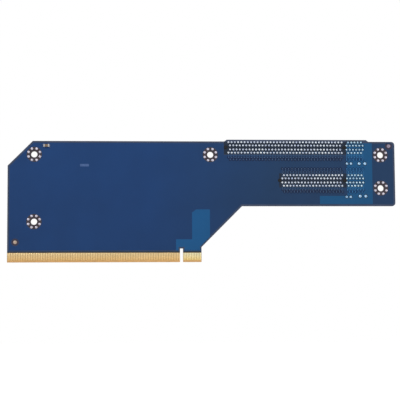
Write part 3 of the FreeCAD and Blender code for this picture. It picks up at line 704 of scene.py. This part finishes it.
# ---- Slot housings ----
# One black glass-filled moulding for each slot, pressed into the board by its two round pegs.
# Ribs part its contacts, a key stands in its mouth, and the mouth's lips lead the card in.
HOUSING_SIDE, SKIRT_SIDE, TROUGH_SIDE, GROOVE_SIDE, WEB_SIDE = 3.75, 3.5, 2.8, 0.925, 0.8
TAIL_ROOM, GROOVE_FLOOR, LIP_LOW, BLOCK_TOP = 3.0, 3.35, 10.55, 11.25
LIP_SPREAD = 0.45
KEY_FACE, KEY_WALL = 0.85, 1.0
HALF_TROUGH, GROOVE_BEYOND = 0.3, 0.25
NEARLY = 0.01
PEG_RADIUS, PEG_ROOT, PEG_TAPER, PEG_REACH = 1.1, 0.5, 0.1, 0.3
EDGE_ROUND = 0.05


def cells_solid(x_cuts, y_cuts, z_cuts, filled):
    """Points and faces round the filled cells of a box cut along X, Y and Z.

    A face is drawn wherever a filled cell meets an empty one, with the four grid points of
    that side as its corners.
    """
    padded = np.pad(filled, 1)
    shape = np.array([len(cuts) for cuts in (x_cuts, y_cuts, z_cuts)])
    unit = np.eye(3, dtype=int)
    faces = []
    for axis in range(3):
        step = np.diff(padded.astype(int), axis=axis)
        trim = [slice(1, -1)] * 3
        trim[axis] = slice(None)
        step = step[tuple(trim)]
        first, second = np.delete(unit, axis, axis=0)
        for sign in (1, -1):
            low = np.argwhere(step == sign)
            corners = np.stack((low, low + first, low + first + second, low + second), axis=1)
            faces.append((corners[..., 0] * shape[1] + corners[..., 1]) * shape[2]
                         + corners[..., 2])
    faces = np.concatenate(faces)
    grid = np.stack(np.meshgrid(x_cuts, y_cuts, z_cuts, indexing="ij"), axis=-1).reshape(-1, 3)
    used, renumbered = np.unique(faces, return_inverse=True)
    return grid[used], [renumbered.reshape(faces.shape)]


def housing(slot):
    """Block less its groove, one trough for each contact, and the hollow over the tails."""
    far_left, far_right = -KEY_WALL - slot.long_side, KEY_WALL + SHORT_SIDE
    groove_left, groove_right = far_left - GROOVE_BEYOND, far_right + GROOVE_BEYOND
    contacts = np.concatenate(seats(0.0, slot.long_side))
    x_cuts = np.unique(np.round(np.concatenate((
        (slot.left - SLOT_KEY, slot.right - SLOT_KEY, far_left, far_right, -KEY_WALL, KEY_WALL,
         -KEY_FACE, KEY_FACE, groove_left, groove_right),
        contacts - HALF_TROUGH, contacts + HALF_TROUGH)), 4))
    aside = np.array((WEB_SIDE, GROOVE_SIDE, TROUGH_SIDE, SKIRT_SIDE, HOUSING_SIDE))
    y_cuts = np.concatenate((-aside[::-1], aside))
    z_cuts = np.array((0.0, TAIL_ROOM, GROOVE_FLOOR, LIP_LOW, BLOCK_TOP))
    middle = [(cuts[1:] + cuts[:-1]) / 2 for cuts in (x_cuts, y_cuts, z_cuts)]
    x, y, z = np.meshgrid(*middle, indexing="ij")
    in_trough = np.min(np.abs(x[..., None] - contacts), axis=-1) < HALF_TROUGH
    in_row = (np.abs(x) > KEY_WALL) & (x > far_left) & (x < far_right)
    in_groove = (np.abs(x) > KEY_FACE) & (x > groove_left) & (x < groove_right)
    empty = in_groove & (np.abs(y) < GROOVE_SIDE) & (z > GROOVE_FLOOR)
    empty |= in_trough & (np.abs(y) < TROUGH_SIDE) & (np.abs(y) > WEB_SIDE)
    empty |= in_row & (np.abs(y) < SKIRT_SIDE) & (z < TAIL_ROOM)
    points, faces = cells_solid(x_cuts, y_cuts, z_cuts, ~empty)
    across, aside, up = points.T
    # the lips of the mouth lean outwards
    lip = (up > BLOCK_TOP - NEARLY) & (np.abs(aside) < GROOVE_SIDE + NEARLY)
    lip &= (across > groove_left - NEARLY) & (across < groove_right + NEARLY)
    aside = aside + np.where(lip, np.sign(aside) * LIP_SPREAD, 0)
    block = np.column_stack((across + SLOT_KEY, FACE + up, slot.height + aside)), faces
    pegs = raised(slot.pegs, circle(PEG_RADIUS, 20),
                  ((1, -2 * FACE - PEG_ROOT), (1, PEG_TAPER), (0.8, PEG_REACH)), SOLDER_SIDE)
    return joined(block, pegs)


black = new_finish("moulded_black", specular=0.22)
moulding = clouds(black, 0.22, detail=4.0)
flow_marks = clouds(black, 7.0, stretch=(2.5, 1, 1), detail=2.0)
housing_colour = tint(black, spread(black, flow_marks), printed((12, 12, 14)),
                      printed((23, 23, 26)))
housing_colour = tint(black, spread(black, moulding, 0.0, 0.5, 0.55, 0.8), housing_colour,
                      printed((44, 44, 47)))
coat(black, housing_colour, (0.42, 0.6), flow_marks, 0.015, moulding)
for slot in SLOTS:
    piece = fit_piece(slot.name + "_housing", housing(slot), black, "housing",
                      slot.name + "_slot_housing", crease=30)
    rounding = piece.modifiers.new("moulded_edges", "BEVEL")
    rounding.width = EDGE_ROUND * MM
    rounding.segments = 1
    rounding.limit_method = "ANGLE"
    rounding.angle_limit = np.radians(40)


# ---- Slot contacts ----
# Springs stamped from phosphor-bronze strip, tinned at the tail and gold-plated where they
# press on a card, pushed up into the housing from below.
STRIP_WIDTH, STRIP_THICK = 0.5, 0.2
TIP_START, TIP_SHARE = 9.0, 0.8
GILDING = (5.5, 6.2)
OUTER_SHAPE = ((3.25, -0.02), (3.25, 1.5), (2.2, 2.6), (2.1, 5.2), (0.66, 8.6), (1.1, 9.95))
INNER_SHAPE = ((1.25, -0.02), (1.25, 1.5), (2.0, 2.6), (2.0, 5.2), (0.66, 8.6), (1.1, 9.95))


def corners_cut(path):
    """Path with its inner corners cut: points at a quarter and three quarters of each run."""
    path = np.asarray(path, dtype=float)
    quarter = 0.75 * path[:-1] + 0.25 * path[1:]
    three_quarters = 0.25 * path[:-1] + 0.75 * path[1:]
    between = np.stack((quarter, three_quarters), axis=1).reshape(-1, 2)
    return np.vstack((path[:1], between[1:-1], path[-1:]))


def springs(across, slot_height, shape, way):
    """Strips bent along a path of (offset, height) points, one at each x.

    The strip's four edges lie half its width along the slot and half its thickness across
    the path, which is the path's direction turned by a right angle.
    """
    path = corners_cut(shape)
    normal = left_of(np.gradient(path, axis=0)) * STRIP_THICK / 2
    edges = np.stack((path + normal, path + normal, path - normal, path - normal), axis=1)
    half = np.where(path[:, 1] > TIP_START, TIP_SHARE, 1.0)[:, None] * STRIP_WIDTH / 2
    in_width = np.asarray(across)[:, None, None] + half * np.array((-1, 1, 1, -1))
    out = np.broadcast_to(FACE + edges[..., 1], in_width.shape)
    up = np.broadcast_to(slot_height + way * edges[..., 0], in_width.shape)
    return skin(np.stack((in_width, out, up), axis=-1))


plating = new_finish("spring_plating", metallic=1.0)
gilded = spread(plating, along(plating, "Y"), 0.0, 1.0, *(FACE + np.array(GILDING)))
spring_grain = clouds(plating, 0.3, stretch=(0.5, 4, 1))
spring_colour = tint(plating, gilded, printed((206, 204, 204)), printed((240, 200, 132)))
spring_colour = tint(plating, spread(plating, spring_grain, 0.0, 0.3), spring_colour,
                     printed((150, 128, 100)))
coat(plating, spring_colour, (0.2, 0.4), spring_grain, 0.004)
for slot in SLOTS:
    for letter, way in (("a", 1), ("b", -1)):
        pair = joined(springs(slot.outer, slot.height, OUTER_SHAPE, way),
                      springs(slot.inner, slot.height, INNER_SHAPE, way))
        fit_piece(slot.name + "_springs_row_" + letter, pair, plating, "contact",
                  slot.name + "_contacts_row_" + letter)


# ---- Slot solder joints ----
# Where each tail comes out of the board, wave solder climbs it from a round copper land and
# leaves a bright cone with the tail's end standing out of it.
OUTER_TAILS, INNER_TAILS = 3.25, 1.25
JOINT_RADIUS, JOINT_HEIGHT = 0.62, 1.2
JOINT_CLEAR, JOINT_CLEAR_SIDES, JOINT_CLEAR_STANDS = 0.94, 18, SUPPLY_STANDS + 0.004
joint_steps = ((1, -SUNK), (0.94, 0.11), (0.76, 0.25), (0.38, 0.34), (0.28, 0.42), (0.23, 1.05),
               (0.1, JOINT_HEIGHT))
joint_finish = solder("wave_solder", (192, 203, 227), (246, 252, 255), 0.003, 5.0)
# painted reflection: the tin on the supply copper is painted blue, as it mirrors the blue copper
# round it
supply_joint_blue_reflection_finish = solder("wave_solder_on_supply", (170, 206, 234), (216, 242, 255), 0.003, 5.0)
# bare lacquer shows round the joints on the supply copper
joint_gap_finish = lacquered("lacquer_round_joints", (8, 34, 46), (8, 34, 46))
for slot in SLOTS:
    places = np.vstack([row(across, slot.height + offset)
                        for across, offset in ((slot.outer, OUTER_TAILS),
                                               (slot.inner, INNER_TAILS),
                                               (slot.inner, -INNER_TAILS),
                                               (slot.outer, -OUTER_TAILS))])
    in_long_side = places[:, 0] < SLOT_KEY
    for end, finish, chosen in (("_long", joint_finish, in_long_side),
                                ("_short", supply_joint_blue_reflection_finish, ~in_long_side)):
        joints = raised(places[chosen], circle(JOINT_RADIUS, 10), joint_steps, SOLDER_SIDE)
        fit_piece(slot.name + end + "_joints", joints, finish, "solder",
                  slot.name + "_solder_joints", crease=60)
    clearances = discs(places[~in_long_side], JOINT_CLEAR, JOINT_CLEAR_SIDES, JOINT_CLEAR_STANDS)
    fit_piece(slot.name + "_joint_clearances", clearances, joint_gap_finish, "mask")


# ---- Capacitors ----
# Upright capacitors: a drawn aluminium can with a rolled bead over a rubber seal, scored on top
# so that it can vent, with a printed segment over its negative lead.  Two leads go through the
# board and are soldered on its far side.
CAN_LOW = 0.4
# radius, height over the board, distance between the leads, and radius of a lead's joint
SIZES = {"small": (3.15, 9.0, 2.5, 0.78), "large": (4.0, 11.5, 3.5, 0.92)}
CANS = (("upper", "small", (103.4, 60.28)), ("upper", "large", (111.5, 60.28)),
        ("lower", "small", (102.95, 39.71)), ("lower", "large", (111.8, 40.11)))
# how far in from the wall, and how far up from the can's foot or down from its top
CAN_FOOT = ((0.35, 0.02), (0.12, 0.0), (0.0, 0.15), (0.0, 0.7), (0.1, 0.85), (0.34, 1.05),
            (0.38, 1.25), (0.34, 1.45), (0.1, 1.65), (0.0, 1.8))
CAN_HEAD = ((0.0, 0.55), (0.04, 0.35), (0.15, 0.17), (0.32, 0.06), (0.5, 0.03), (0.62, 0.1))
LID_IN, LID_LOW, LID_HIGH, SCORE_GAP, HALF_SECTOR = 0.62, 0.2, 0.05, 0.16, np.radians(58)
PRINT_IN, PRINT_LOW, PRINT_HIGH, HALF_PRINT = 0.12, 0.1, 0.03, np.radians(52)
SEAL_IN = 0.36
LEAD_RADIUS, LEAD_CLEAR, LEAD_JOINT_SIDES = 0.25, 0.32, 20
can_finish = new_finish("drawn_aluminium", metallic=1.0)
drawing_lines = clouds(can_finish, 0.25, stretch=(1, 12, 1), detail=4.0)
can_clouds = spread(can_finish, clouds(can_finish, 2.5, detail=2.0))
coat(can_finish, tint(can_finish, can_clouds, printed((196, 199, 204)), printed((222, 224, 228))),
     (0.26, 0.38), drawing_lines, 0.0008)
seal_finish = mottled("black_rubber", 0.3, (22, 22, 23), (40, 39, 40), (0.6, 0.8), 0.02,
                      specular=0.3)
print_finish = mottled("violet_print", 0.5, (52, 46, 92), (66, 58, 110), (0.38, 0.55), 0.004,
                       specular=0.4)


def fan(radius, turn, half, points):
    """Arc of a circle, from half an angle before a direction to half after it."""
    return radius * pointing(np.linspace(turn - half, turn + half, points))


leads = {size: [] for size in SIZES}
for level, size, centre in CANS:
    name = level + "_" + size
    radius, height, apart, joint = SIZES[size]
    leads[size] += [(centre[0] + way * apart / 2, centre[1]) for way in (-1, 1)]
    steps = [((radius - inset) / radius, CAN_LOW + rise) for inset, rise in CAN_FOOT]
    steps += [((radius - inset) / radius, height - drop) for inset, drop in CAN_HEAD]
    fit_piece(name + "_can", raised([centre], circle(radius, 64), steps, PARTS_SIDE), can_finish,
              "can", name + "_capacitor_can", crease=50)
    # three raised sectors leave the scored lines between them
    top, lid = FACE + height, radius - LID_IN
    sectors = [np.vstack((SCORE_GAP * pointing(turn), fan(lid, turn, HALF_SECTOR, 20))) + centre
               for turn in np.radians((90, 210, 330))]
    fit_piece(name + "_scored_top", flat_plate(sectors, top - LID_LOW, top - LID_HIGH),
              can_finish, "can")
    # the segment over the negative lead
    segment = fan(lid - PRINT_IN, np.pi, HALF_PRINT, 24) + centre
    fit_piece(name + "_polarity", flat_plate([segment], top - PRINT_LOW, top - PRINT_HIGH),
              print_finish, "can")
    seal = raised([centre], circle(radius - SEAL_IN, 40),
                  ((0.8, 0.18), (0.95, 0.2), (1, 0.3), (1, CAN_LOW + 0.2)), PARTS_SIDE)
    fit_piece(name + "_seal", seal, seal_finish, "housing")

lead_finish = solder("tinned_wire", (205, 205, 208), (232, 233, 236))
wires = raised(leads["small"] + leads["large"], circle(LEAD_RADIUS, 12), ((1, -0.1), (1, CAN_LOW)),
               PARTS_SIDE)
fit_piece("capacitor_wires", wires, lead_finish, "solder", "capacitor_leads")
lead_joint_steps = ((1, -SUNK), (0.94, 0.14), (0.74, 0.3), (0.46, 0.4), (0.3, 0.5), (0.24, 1.05),
                    (0.12, 1.2))
# painted reflection: the tin of the capacitors' joints is painted blue, as it mirrors the blue
# supply copper round it
lead_joint_blue_reflection_finish = solder("capacitor_solder", (152, 190, 222), (184, 216, 242), 0.003)
lead_joints, lead_gaps = [], []
for size, (_, _, _, joint) in SIZES.items():
    lead_joints.append(raised(leads[size], circle(joint, LEAD_JOINT_SIDES), lead_joint_steps,
                              SOLDER_SIDE))
    lead_gaps.append(discs(leads[size], joint + LEAD_CLEAR, LEAD_JOINT_SIDES, JOINT_CLEAR_STANDS))
fit_piece("capacitor_joints", joined(*lead_joints), lead_joint_blue_reflection_finish, "solder",
          "capacitor_solder_joints", crease=60)
fit_piece("capacitor_joint_clearances", joined(*lead_gaps), joint_gap_finish, "mask")


# ---- Chip capacitors ----
# Small ceramic blocks with tinned metal ends, laid on two lands by machine and soldered.  The
# solder wets each land beyond the block's end.
LAND_BEYOND = 0.4


def chip(centre, length, width, height, side, cap=0.5):
    """Ceramic block, its two ends and their lands: rounded sections carried up from the face."""
    block = raised([centre], rounded_box(length - 2 * cap + 0.02, width - 0.08, 0.06),
                   ((1, 0.03), (1, height - 0.12), (0.97, 0.95, height - 0.04)), side)
    ways = np.array(((-1, 0), (1, 0)))
    reach = (length - cap) / 2
    caps = raised(centre + reach * ways, rounded_box(cap, width, 0.1),
                  ((1, -SUNK), (1, height - 0.15), (0.9, 0.97, height - 0.04),
                   (0.7, 0.9, height)), side)
    lands = raised(centre + (reach + LAND_BEYOND / 2) * ways,
                   rounded_box(cap + LAND_BEYOND, width + 0.15, 0.15),
                   ((1, -SUNK), (1, 0.05), (0.9, 0.92, 0.12), (0.72, 0.88, 0.27 * height),
                    (0.5, 0.84, 0.55 * height)), side)
    return block, caps, lands


chip_finish = mottled("fired_ceramic", 0.3, (104, 84, 64), (138, 116, 92), (0.45, 0.65), 0.01,
                      detail=4.0, specular=0.4)
chip_end_finish = solder("tinned_ends", (142, 146, 152), (170, 170, 172))
EDGE_CHIP, SLOT_CHIP = (3.5, 1.7, 1.1), (2.0, 1.25, 0.9)
FROM_KEY, FROM_SLOT = 4.2, 7.6
edge_chips = [chip((-81.85, 70.95), *EDGE_CHIP, SOLDER_SIDE, 0.8)]
slot_chips = [chip((SLOT_KEY - FROM_KEY, slot.height - FROM_SLOT), *SLOT_CHIP, PARTS_SIDE)
              for slot in SLOTS]
for word, block_word, chips in (("solder_side", "_chip", edge_chips),
                                ("component_side", "_chips", slot_chips)):
    blocks, caps, lands = [joined(*forms) for forms in zip(*chips)]
    fit_piece(word + block_word, blocks, chip_finish, "chip_ceramic", word + "_chip_bodies")
    fit_piece(word + "_chip_caps", caps, chip_end_finish, "solder", word + "_chip_ends")
    fit_piece(word + "_chip_lands", lands, chip_end_finish, "solder")


# ---- Printed marks ----
# Pale ink screened on the lacquer: outlines that show where the slots and capacitors go, and
# a plain bar, nearly worn off, on the solder side.
INK_STANDS, INK_LINE, INK_AWAY = 0.04, 0.2, 0.35
CHIP_FRAME = (-5.6, -2.8, -8.6, -6.6)
ink_finish = mottled("screen_ink", 0.35, (196, 200, 208), (226, 228, 232), (0.5, 0.7), 0.006,
                     detail=4.0, specular=0.2)
faint_ink = mottled("faint_ink", 0.5, (66, 92, 140), (82, 108, 156), (0.4, 0.6), 0.004,
                    detail=4.0, specular=0.16)
bar = raised([(-58.8, 59.0)], rounded_box(5.4, 1.5, 0.1), ((1, -SUNK), (1, INK_STANDS)),
             SOLDER_SIDE)
fit_piece("solder_side_print", bar, faint_ink, "mask")

# the upper slot's outline is kept off the board's top edge
outlines = [box_outline(slot.left - INK_AWAY, slot.right + INK_AWAY, slot.low - INK_AWAY, high)
            for slot, high in ((x16, BOARD_TOP - INK_AWAY), (x8, x8.high + INK_AWAY))]
outlines += [circle(SIZES[size][0] + INK_AWAY, centre=centre) for level, size, centre in CANS]
outlines += [box_outline(*np.array(CHIP_FRAME) + (SLOT_KEY, SLOT_KEY, slot.height, slot.height))
             for slot in SLOTS]
frames = [band(drawn_in(outline, -INK_LINE / 2), drawn_in(outline, INK_LINE / 2), INK_STANDS,
               PARTS_SIDE) for outline in outlines]
fit_piece("component_side_print", joined(*frames), ink_finish, "mask")


# ---- Floor, light and camera ----
# A wide white floor below the card, soft lamps before and behind it, and an even sky, all
# placed in metres.  Floor and sky show as white, and the floor is dimmer near the card, where
# it takes its shadow.
FLOOR_DROP, FLOOR_REACH = 0.1, 6
# the floor's glow near the card, and the reach in millimetres over which it comes back
GLOW_HELD_BACK, GLOW_START, GLOW_END = 0.26, 300.0, 900.0
SKY_LEVEL = 0.6


def seen_as_white(finish):
    """1 for what the camera sees straight, in gloss or through glass, and 0 for other light."""
    rays = add_node(finish, "LightPath").outputs
    seen = reckon(finish, "MAXIMUM", rays["Is Camera Ray"], rays["Is Glossy Ray"])
    return reckon(finish, "MAXIMUM", seen, rays["Is Transmission Ray"])


bpy.context.scene.view_settings.view_transform = "Standard"
floor_mesh = bpy.data.meshes.new("floor")
floor_corners = box_outline(-FLOOR_REACH, FLOOR_REACH, -FLOOR_REACH, FLOOR_REACH)
floor_mesh.from_pydata([(x, y, -FLOOR_DROP) for x, y in floor_corners.tolist()], [],
                       [(0, 1, 2, 3)])
put_in_scene("floor", floor_mesh)
white = new_finish("white_floor", specular=0.0)
floor_nodes = white.node_tree.nodes
diffuse = floor_nodes["Principled BSDF"]
diffuse.inputs["Base Color"].default_value = (0.8, 0.8, 0.8, 1)
diffuse.inputs["Roughness"].default_value = 0.9
from_card = add_node(white, "VectorMath", Vector=place_on(white))
from_card.operation = "LENGTH"
held_back = spread(white, from_card.outputs["Value"], GLOW_HELD_BACK, 1.0, GLOW_START, GLOW_END)
glow = add_node(white, "Emission",
                Strength=reckon(white, "MULTIPLY", seen_as_white(white), held_back))
both = add_node(white, "AddShader")
for socket, shader in zip(both.inputs, (diffuse, glow)):
    feed(white, socket, shader.outputs[0])
feed(white, floor_nodes["Material Output"].inputs["Surface"], both.outputs["Shader"])
floor_mesh.materials.append(white)

sky = bpy.data.worlds.new("sky")
bpy.context.scene.world = sky
sky.use_nodes = True
sky_light = sky.node_tree.nodes["Background"].inputs
sky_light["Color"].default_value = (1, 1, 1, 1)
feed(sky, sky_light["Strength"], spread(sky, seen_as_white(sky), SKY_LEVEL, 1.0, 0.0, 1.0))

CARD_MIDDLE = Vector((0.012, 0, 0.037))
for name, place, size, watts in (("lamp_left", (-0.55, -0.75, 0.6), 0.5, 2.6),
                                 ("lamp_right", (0.7, -0.7, 0.35), 0.5, 1.6),
                                 ("lamp_behind", (0.3, 0.9, 0.6), 0.6, 3.6)):
    lamp = bpy.data.lights.new(name, "AREA")
    lamp.shape = "DISK"
    lamp.size = size
    lamp.energy = watts
    holder = put_in_scene(name, lamp)
    holder.location = place
    holder.rotation_euler = (CARD_MIDDLE - holder.location).to_track_quat("-Z", "Y").to_euler()

AIM = Vector((0.01146, 0, 0.03783))
TURN, TILT, ROLL = np.radians((-3.8, -5.46, -0.35))
DISTANCE = 0.8414
LENS = 124.146
camera = put_in_scene("camera", bpy.data.cameras.new("camera"))
bpy.context.scene.camera = camera
camera.data.lens = LENS
back = Vector((np.sin(TURN) * np.cos(TILT), -np.cos(TURN) * np.cos(TILT), np.sin(TILT)))
camera.location = AIM + DISTANCE * back
level_view = (-back).to_track_quat("-Z", "Y").to_matrix().to_4x4()
camera.rotation_euler = (level_view @ Matrix.Rotation(ROLL, 4, "Z")).to_euler()
camera.data.clip_start, camera.data.clip_end = 0.01, 20
